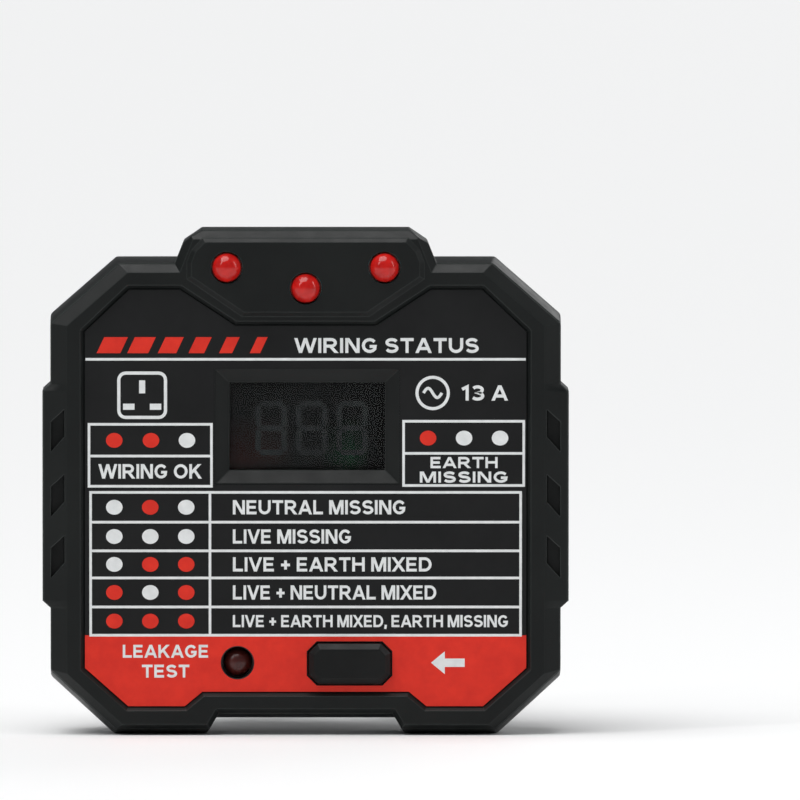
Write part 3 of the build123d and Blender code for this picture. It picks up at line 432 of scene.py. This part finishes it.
# Capitals as centre lines of their strokes, one cap high: (advance width, strokes)
LOW, MID, TOP = 0.1, 0.5, 0.9
GLYPHS = {
    "A": (1.0, [[(0.08, 0), (0.5, 1)], [(0.92, 0), (0.5, 1)], [(0.22, 0.3), (0.78, 0.3)]]),
    "C": (0.95, [arc(0.49, MID, 0.39, 0.4, 38, 322)]),
    "D": (0.95, [[(0.1, LOW), (0.1, TOP), *arc(0.42, MID, 0.41, 0.4, 90, -90), (0.1, LOW)]]),
    "E": (0.80, [[(0.75, TOP), (0.1, TOP), (0.1, LOW), (0.77, LOW)], [(0.1, MID), (0.7, MID)]]),
    "G": (1.0, [[*arc(0.5, MID, 0.4, 0.4, 38, 325), (0.85, 0.44), (0.5, 0.44)]]),
    "H": (0.92, [[(0.1, 0), (0.1, 1)], [(0.82, 0), (0.82, 1)], [(0.1, 0.52), (0.82, 0.52)]]),
    "I": (0.2, [[(0.1, 0), (0.1, 1)]]),
    "K": (0.93, [[(0.1, 0), (0.1, 1)], [(0.12, 0.36), (0.78, 1)], [(0.38, 0.6), (0.83, 0)]]),
    "L": (0.74, [[(0.1, 1), (0.1, LOW), (0.74, LOW)]]),
    "M": (
        1.1,
        [[(0.1, 0), (0.1, 1)], [(1.0, 0), (1.0, 1)], [(0.17, 1), (0.55, 0)], [(0.93, 1), (0.55, 0)]],
    ),
    "N": (0.92, [[(0.1, 0), (0.1, 1)], [(0.82, 0), (0.82, 1)], [(0.14, 1), (0.78, 0)]]),
    "O": (1.05, [arc(0.52, MID, 0.42, 0.4, 0, 360, 24)]),
    "R": (
        0.93,
        [
            [(0.1, 0), (0.1, 1)],
            [(0.1, TOP), *arc(0.5, 0.68, 0.26, 0.22, 90, -90), (0.1, 0.46)],
            [(0.44, 0.46), (0.84, 0)],
        ],
    ),
    "S": (
        0.85,
        [[*arc(0.43, 0.705, 0.31, 0.195, 20, 270), *arc(0.43, 0.305, 0.33, 0.205, 90, -160)]],
    ),
    "T": (0.84, [[(0.0, TOP), (0.84, TOP)], [(0.42, 0), (0.42, TOP)]]),
    "U": (0.92, [[(0.1, 1), *arc(0.46, 0.44, 0.36, 0.34, 180, 360), (0.82, 1)]]),
    "V": (0.92, [[(0.07, 1), (0.46, 0)], [(0.85, 1), (0.46, 0)]]),
    "W": (
        1.35,
        [
            [(0.06, 1), (0.36, 0)],
            [(0.36, 0), (0.67, 1)],
            [(0.67, 1), (0.98, 0)],
            [(0.98, 0), (1.29, 1)],
        ],
    ),
    "X": (0.9, [[(0.07, 0), (0.83, 1)], [(0.07, 1), (0.83, 0)]]),
    "1": (0.5, [[(0.02, 0.74), (0.34, TOP), (0.34, 0)]]),
    "3": (
        0.78,
        [[*arc(0.36, 0.7, 0.3, 0.2, 150, -90), *arc(0.36, 0.3, 0.33, 0.2, 90, -150)]],
    ),
    ",": (0.2, [[(0.12, 0.2), (0.06, -0.14)]]),
    "+": (0.7, [[(0.02, 0.46), (0.68, 0.46)], [(0.35, 0.14), (0.35, 0.78)]]),
    " ": (0.22, []),
}
STEM = 0.2
LETTER_GAP = 0.13


def stroke(bm, points, width, closed=False, level_ends=(), layer=0):
    """A thin raised line of constant width through points (x, z) in millimetres, mitred.

    An end that lies on one of the level_ends is cut level. Each layer stands a little prouder
    than the last, so that strokes that cross never share a face.
    """
    points = [Vector(p) for p in points]
    points = [p for i, p in enumerate(points) if i == 0 or (p - points[i - 1]).length > SAME_PLACE]
    count = len(points)
    raised = PRINT_FRONT - layer * LAYER_STEP
    left, right = [], []
    for i, p in enumerate(points):
        before = points[i - 1] if (i or closed) else None
        after = points[(i + 1) % count] if (i < count - 1 or closed) else None
        into = (p - before).normalized() if before is not None else None
        out = (after - p).normalized() if after is not None else None
        if into is None or out is None:
            along = out if into is None else into
            side = Vector((-along.y, along.x))
            level = any(abs(p.y - height) < SAME_PLACE for height in level_ends)
            if level and abs(along.y) > LEVEL_SLOPE:
                side = Vector((-1.0 if along.y > 0 else 1.0, 0.0)) / abs(along.y)
        else:
            along = (into + out).normalized()
            side = Vector((-along.y, along.x))
            side /= max(side.dot(Vector((-into.y, into.x))), MITRE_LIMIT)
        left.append(p + side * width / 2)
        right.append(p - side * width / 2)
    rings = [
        [bm.verts.new((q.x * MM, y, q.y * MM)) for q in (a, b)]
        for y in (raised, PRINT_BACK)
        for a, b in zip(left, right)
    ]
    front, rear = rings[:count], rings[count:]
    for i in range(count if closed else count - 1):
        j = (i + 1) % count
        bm.faces.new((front[i][0], front[j][0], front[j][1], front[i][1]))
        bm.faces.new((rear[i][1], rear[j][1], rear[j][0], rear[i][0]))
        bm.faces.new((front[i][0], rear[i][0], rear[j][0], front[j][0]))
        bm.faces.new((front[i][1], front[j][1], rear[j][1], rear[i][1]))
    if not closed:
        bm.faces.new((front[0][0], front[0][1], rear[0][1], rear[0][0]))
        bm.faces.new((front[-1][1], front[-1][0], rear[-1][0], rear[-1][1]))


def lettering(bm, text, x, z, cap, width, align="LEFT"):
    """Printed capitals, cap millimetres high with their middle at z, fitted to a width."""
    natural = sum(GLYPHS[c][0] + LETTER_GAP for c in text) - LETTER_GAP
    stretch = width / natural
    pen = x - width / 2 if align == "CENTER" else x
    base = z - cap / 2
    for c in text:
        advance, strokes = GLYPHS[c]
        for layer, line in enumerate(strokes):
            placed = [(pen + px * stretch, base + pz * cap) for px, pz in line]
            loop = c in "DO"
            if loop:
                placed = placed[:-1]
            thick = STEM * (cap + stretch) / 2
            stroke(bm, placed, thick, loop, (base, base + cap), layer)
        pen += (advance + LETTER_GAP) * stretch


# Layout of the printed panel, in millimetres of the CAD frame: (x, z)
LINE_WIDTH = 0.34
LABEL_EDGE = 28.75
TITLE_RULE = 17.9
TABLE_SIDE = 28.1
TABLE_ROWS = (0.5, -3.4, -7.15, -10.7, -14.5, -18.2)
TABLE_DIVIDER = -12.5
TABLE_DOTS = (-25.0, -20.3, -15.6)
TABLE_LAMPS = ("WRW", "WWW", "WRR", "RWR", "RRR")
TABLE_TEXT_X = -9.5
TABLE_CAP, TABLE_SMALL_CAP = 1.87, 1.6
LONG_TEXT = 30
TABLE_TEXT = (
    ("NEUTRAL MISSING", 22.6),
    ("LIVE MISSING", 15.5),
    ("LIVE + EARTH MIXED", 26.0),
    ("LIVE + NEUTRAL MIXED", 26.6),
    ("LIVE + EARTH MIXED, EARTH MISSING", 36.0),
)
LEFT_BOX = (-28.3, -12.3, 1.3, 9.4, 5.25)
LEFT_DOTS_Z = 7.3
LEFT_DOTS = ((-25.0, "R"), (-20.2, "R"), (-15.5, "W"))
RIGHT_BOX = (12.8, 28.5, 1.4, 9.8, 5.6)
RIGHT_DOTS_Z = 7.6
RIGHT_DOTS = ((16.0, "R"), (20.7, "W"), (25.4, "W"))
BAND_TOP = -18.2
# Text, x, z of its middle, cap height and width
TITLE = ("WIRING STATUS", -1.4, 19.7, 1.95, 24.0)
CAPTIONS = (
    ("WIRING OK", -20.3, 3.25, 1.9, 13.4),
    ("EARTH", 20.7, 4.4, 1.45, 8.8),
    ("MISSING", 20.7, 2.5, 1.45, 11.6),
)
TEST_CAPTIONS = (
    ("LEAKAGE", -18.3, -20.3, 1.7, 11.2),
    ("TEST", -18.3, -22.9, 1.7, 6.2),
)
RATING = ("13 A", 20.4, 13.5, 2.0, 6.0)
STRIPE_COUNT = 6
STRIPE_START = -27.3
STRIPE_PITCH, STRIPE_WIDTH, STRIPE_SHRINK, STRIPE_LEAN = 4.0, 3.1, 0.35, 1.0
STRIPE_BOTTOM, STRIPE_TOP = 18.7, 20.8
SOCKET_CORNERS = ((-19.2, 15.2, 0), (-23.5, 15.2, 90), (-23.5, 11.2, 180), (-19.2, 11.2, 270))
SOCKET_RADIUS, SOCKET_LINE = 0.9, 0.42
SOCKET_EARTH = (-21.75, -20.95, 13.45, 15.15)
SOCKET_HOLES_X = (-23.1, -19.6)
SOCKET_HOLE_WIDTH, SOCKET_HOLE_BOTTOM, SOCKET_HOLE_TOP = 1.5, 11.3, 12.1
SINE_CENTRE, SINE_RADIUS = (16.6, 13.5), 2.05
SINE_RING_LINE, SINE_LINE = 0.4, 0.38
SINE_START, SINE_LENGTH, SINE_HEIGHT, SINE_STEPS = 15.4, 2.4, 0.62, 16
ARROW_TIP, ARROW_BASE_X, ARROW_TAIL_X = (16.4, -21.8), 18.2, 20.8
ARROW_HALF, SHAFT_HALF = 1.5, 0.55
BAND_THICK = 0.015 * MM

white = bmesh.new()
red = bmesh.new()
ink = {"W": white, "R": red}

bar(white, -LABEL_EDGE, TITLE_RULE, LABEL_EDGE, TITLE_RULE)
lettering(white, *TITLE)
for x0, x1, z0, z1, divider in (LEFT_BOX, RIGHT_BOX):
    box_rule(white, x0, x1, z0, z1, divider)
for x, kind in LEFT_DOTS:
    dot(ink[kind], x, LEFT_DOTS_Z)
for x, kind in RIGHT_DOTS:
    dot(ink[kind], x, RIGHT_DOTS_Z)
for caption in CAPTIONS:
    lettering(white, *caption, "CENTER")

half = LINE_WIDTH / 2
for z in TABLE_ROWS:
    bar(white, -TABLE_SIDE - half, z, TABLE_SIDE + half, z)
for x in (-TABLE_SIDE, TABLE_DIVIDER, TABLE_SIDE):
    for upper, lower in zip(TABLE_ROWS, TABLE_ROWS[1:]):
        bar(white, x, upper - half, x, lower + half)
for upper, lower, lamps, (text, width) in zip(TABLE_ROWS, TABLE_ROWS[1:], TABLE_LAMPS, TABLE_TEXT):
    middle = (upper + lower) / 2
    for x, kind in zip(TABLE_DOTS, lamps):
        dot(ink[kind], x, middle)
    cap = TABLE_CAP if width < LONG_TEXT else TABLE_SMALL_CAP
    lettering(white, text, TABLE_TEXT_X, middle, cap, width)

for caption in TEST_CAPTIONS:
    lettering(white, *caption, "CENTER")


def band_on_label(bm, top):
    """The part of the label's own front face that lies below a height, as a thin layer."""
    bm.from_mesh(nodes["label_panel"].data)
    bmesh.ops.remove_doubles(bm, verts=bm.verts, dist=WELD_DISTANCE)
    others = [f for f in bm.faces if any(abs(v.co.y - PRINT_BACK) > WELD_DISTANCE for v in f.verts)]
    bmesh.ops.delete(bm, geom=others, context="FACES")
    everything = [*bm.verts, *bm.edges, *bm.faces]
    cut = Vector((0, 0, top * MM))
    bmesh.ops.bisect_plane(bm, geom=everything, plane_co=cut, plane_no=(0, 0, 1), clear_outer=True)
    bmesh.ops.dissolve_limit(bm, angle_limit=0.01, verts=bm.verts, edges=bm.edges)
    made = bmesh.ops.extrude_face_region(bm, geom=list(bm.faces))
    for v in (g for g in made["geom"] if isinstance(g, bmesh.types.BMVert)):
        v.co.y = PRINT_BACK - BAND_THICK


# A plain striped bar beside the title, a socket sign, a mains sign and an arrow to the button
for i in range(STRIPE_COUNT):
    x0 = STRIPE_START + i * STRIPE_PITCH
    x1 = x0 + STRIPE_WIDTH - STRIPE_SHRINK * i
    foot = [(x0, STRIPE_BOTTOM), (x1, STRIPE_BOTTOM)]
    slab(red, foot + [(x1 + STRIPE_LEAN, STRIPE_TOP), (x0 + STRIPE_LEAN, STRIPE_TOP)])
corners = [arc(cx, cz, SOCKET_RADIUS, SOCKET_RADIUS, a, a + 90, 5) for cx, cz, a in SOCKET_CORNERS]
stroke(white, [p for corner in corners for p in corner], SOCKET_LINE, True)
slab(white, rectangle(*SOCKET_EARTH))
for x in SOCKET_HOLES_X:
    x0 = x - SOCKET_HOLE_WIDTH / 2
    slab(white, rectangle(x0, x0 + SOCKET_HOLE_WIDTH, SOCKET_HOLE_BOTTOM, SOCKET_HOLE_TOP))
stroke(white, arc(*SINE_CENTRE, SINE_RADIUS, SINE_RADIUS, 0, 360, 32)[:-1], SINE_RING_LINE, True)
wave = []
for i in range(SINE_STEPS + 1):
    along = i / SINE_STEPS
    height = SINE_HEIGHT * math.sin(2 * math.pi * along)
    wave.append((SINE_START + SINE_LENGTH * along, SINE_CENTRE[1] + height))
stroke(white, wave, SINE_LINE)
lettering(white, *RATING)
tip_z = ARROW_TIP[1]
slab(
    white,
    [
        ARROW_TIP,
        (ARROW_BASE_X, tip_z + ARROW_HALF),
        (ARROW_BASE_X, tip_z + SHAFT_HALF),
        (ARROW_TAIL_X, tip_z + SHAFT_HALF),
        (ARROW_TAIL_X, tip_z - SHAFT_HALF),
        (ARROW_BASE_X, tip_z - SHAFT_HALF),
        (ARROW_BASE_X, tip_z - ARROW_HALF),
    ],
)

band = bmesh.new()
band_on_label(band, BAND_TOP)
to_scene("print_band", band, ink_red, "case")

to_scene("print_white", white, ink_white, "case")
to_scene("print_red", red, ink_red, "case")

# ---------------------------------------------------------------- display


def rounded(x0, x1, z0, z1, radius, steps=6):
    """Outline of a rounded rectangle in millimetres."""
    centres = ((x1, z1, 0), (x0, z1, 90), (x0, z0, 180), (x1, z0, 270))
    points = []
    for cx, cz, start in centres:
        px = cx - radius if cx == x1 else cx + radius
        pz = cz - radius if cz == z1 else cz + radius
        points += arc(px, pz, radius, radius, start, start + 90, steps)
    return points


def stack(bm, sections):
    """Closed body through outlines at depths: [(outline, y in metres)], rear first."""
    rings = [[bm.verts.new((x * MM, y, z * MM)) for x, z in outline] for outline, y in sections]
    for lower, upper in zip(rings, rings[1:]):
        for i in range(len(lower)):
            j = (i + 1) % len(lower)
            bm.faces.new((lower[i], lower[j], upper[j], upper[i]))
    bm.faces.new(rings[0][::-1])
    bm.faces.new(rings[-1])


pane_low, pane_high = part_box("display_window")
glass_low, glass_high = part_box("lcd_glass")
GLASS_X = (-9.8, 10.2)
GLASS_Z = (3.55, 14.65)
FLANGE_BOX = (-11.9, 12.3, 1.5, 16.7)
SHOULDER_DEPTH = 0.85 * MM
PANE_GAP = 0.05
PANE_BEVEL = 0.15


def glass_outline(inset, radius):
    """The opening of the display, drawn in by an inset."""
    x0, x1 = GLASS_X
    z0, z1 = GLASS_Z
    return rounded(x0 + inset, x1 - inset, z0 + inset, z1 - inset, radius)


pane = bmesh.new()
flange = rounded(*FLANGE_BOX, 0.6)
throat = glass_outline(PANE_GAP, 0.35)
face = glass_outline(PANE_GAP + PANE_BEVEL, 0.3)
shoulder = pane_high.y - SHOULDER_DEPTH
stack(
    pane,
    [
        (flange, pane_high.y - PANE_GAP * MM),
        (flange, shoulder),
        (throat, shoulder),
        (throat, pane_low.y + PANE_BEVEL * MM),
        (face, pane_low.y),
    ],
)
window_pane = to_scene("window_pane", pane, window_clear, "case")
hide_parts("display_window")

# Unlit segments of the display, just in front of its glass: ends in units of a digit
SEGMENTS = (
    ((0.12, 1.0), (0.88, 1.0)),
    ((0.12, 0.5), (0.88, 0.5)),
    ((0.12, 0.0), (0.88, 0.0)),
    ((0.0, 0.56), (0.0, 0.94)),
    ((1.0, 0.56), (1.0, 0.94)),
    ((0.0, 0.06), (0.0, 0.44)),
    ((1.0, 0.06), (1.0, 0.44)),
)
SEGMENT_FRONT = glass_low.y - 0.02 * MM
SEGMENT_HALF, SEGMENT_TIP = 0.36, 0.3
DIGITS_X = (-6.2, -0.9, 4.4)
DIGIT_BOTTOM, DIGIT_WIDTH, DIGIT_HEIGHT = 5.6, 3.4, 6.4
segments = bmesh.new()
for digit_x in DIGITS_X:
    for (ax, az), (bx, bz) in SEGMENTS:
        x0, z0 = digit_x + DIGIT_WIDTH * ax, DIGIT_BOTTOM + DIGIT_HEIGHT * az
        x1, z1 = digit_x + DIGIT_WIDTH * bx, DIGIT_BOTTOM + DIGIT_HEIGHT * bz
        across = (0.0, SEGMENT_HALF) if az == bz else (SEGMENT_HALF, 0.0)
        tip = (SEGMENT_TIP, 0.0) if az == bz else (0.0, SEGMENT_TIP)
        outline = [
            (x0 - tip[0], z0 - tip[1]),
            (x0 + across[0], z0 - across[1]),
            (x1 + across[0], z1 - across[1]),
            (x1 + tip[0], z1 + tip[1]),
            (x1 - across[0], z1 + across[1]),
            (x0 - across[0], z0 + across[1]),
        ]
        slab(segments, outline, glass_low.y, SEGMENT_FRONT)
to_scene("display_segments", segments, lcd_segment, "case")

# ---------------------------------------------------------------- stage, lights, camera


def plane(name, size, location, look):
    """A flat square, size metres to each side of its centre, that belongs to the stage."""
    bm = bmesh.new()
    bmesh.ops.create_grid(bm, x_segments=1, y_segments=1, size=size)
    mesh = bpy.data.meshes.new(name)
    bm.to_mesh(mesh)
    bm.free()
    obj = bpy.data.objects.new(name, mesh)
    obj.location = location
    bpy.context.scene.collection.objects.link(obj)
    dress(obj, look)


FLOOR_SIZE = 40.0
floor_look = Look("studio_floor", (0.95, 0.95, 0.95), 0.6)
plane("studio_floor", FLOOR_SIZE, (0.0, 0.0, cad_low.z), floor_look)

# The world shows the backdrop's pale tone, and lights the object with a dimmer soft ambient
world = bpy.data.worlds.new("studio")
bpy.context.scene.world = world
world.use_nodes = True
world_tree = world.node_tree
backdrop = world_tree.nodes["Background"]
backdrop.inputs["Color"].default_value = (1.0, 1.0, 1.0, 1.0)
ambient = world_tree.nodes.new("ShaderNodeBackground")
ambient.inputs["Color"].default_value = (0.96, 0.98, 1.0, 1.0)
ambient.inputs["Strength"].default_value = 0.22
rays = world_tree.nodes.new("ShaderNodeLightPath")
mixer = world_tree.nodes.new("ShaderNodeMixShader")
world_tree.links.new(rays.outputs["Is Camera Ray"], mixer.inputs["Fac"])
world_tree.links.new(ambient.outputs["Background"], mixer.inputs[1])
world_tree.links.new(backdrop.outputs["Background"], mixer.inputs[2])
world_tree.links.new(mixer.outputs["Shader"], world_tree.nodes["World Output"].inputs["Surface"])


def aimed(name, data, location):
    """Places a light that points at the origin."""
    obj = bpy.data.objects.new(name, data)
    obj.location = location
    aim = Vector((0, 0, 0)) - Vector(location)
    obj.rotation_mode = "QUATERNION"
    obj.rotation_quaternion = aim.to_track_quat("-Z", "Y")
    bpy.context.scene.collection.objects.link(obj)


def area_light(name, location, size, power):
    data = bpy.data.lights.new(name, "AREA")
    data.shape = "RECTANGLE"
    data.size, data.size_y = size
    data.energy = power
    aimed(name, data, location)


def sun_light(name, location, energy, spread):
    data = bpy.data.lights.new(name, "SUN")
    data.energy = energy
    data.angle = math.radians(spread)
    aimed(name, data, location)


sun_light("top_sun", (-0.22, -0.20, 1.0), 2.45, 50)
sun_light("back_sun", (0.5, 0.9, 0.55), 0.45, 35)
STRIP_SIZE = (0.08, 0.45)
area_light("key", (-0.50, -0.42, 0.50), STRIP_SIZE, 0.9)
area_light("side", (0.60, -0.16, 0.30), STRIP_SIZE, 0.7)

camera_data = bpy.data.cameras.new("camera")
camera = bpy.data.objects.new("camera", camera_data)
bpy.context.scene.collection.objects.link(camera)
bpy.context.scene.camera = camera
CAMERA_DISTANCE = 1.6
CAMERA_ELEVATION = math.radians(2.7)
FRAME_WIDTH = 0.1045
SENSOR_WIDTH = 36.0
# Point that the camera faces, level with the front of the rim
target = Vector((0.0, -0.0295, 0.0019))
back = Vector((0.0, -math.cos(CAMERA_ELEVATION), math.sin(CAMERA_ELEVATION)))
camera.location = target + back * CAMERA_DISTANCE
camera.rotation_mode = "QUATERNION"
camera.rotation_quaternion = (-back).to_track_quat("-Z", "Y")
camera_data.sensor_width = SENSOR_WIDTH
camera_data.lens = SENSOR_WIDTH * CAMERA_DISTANCE / FRAME_WIDTH
camera_data.shift_x = 0.118
camera_data.shift_y = 0.1023
camera_data.clip_start = 0.01
camera_data.clip_end = 200.0

bpy.context.scene.view_settings.view_transform = "Standard"
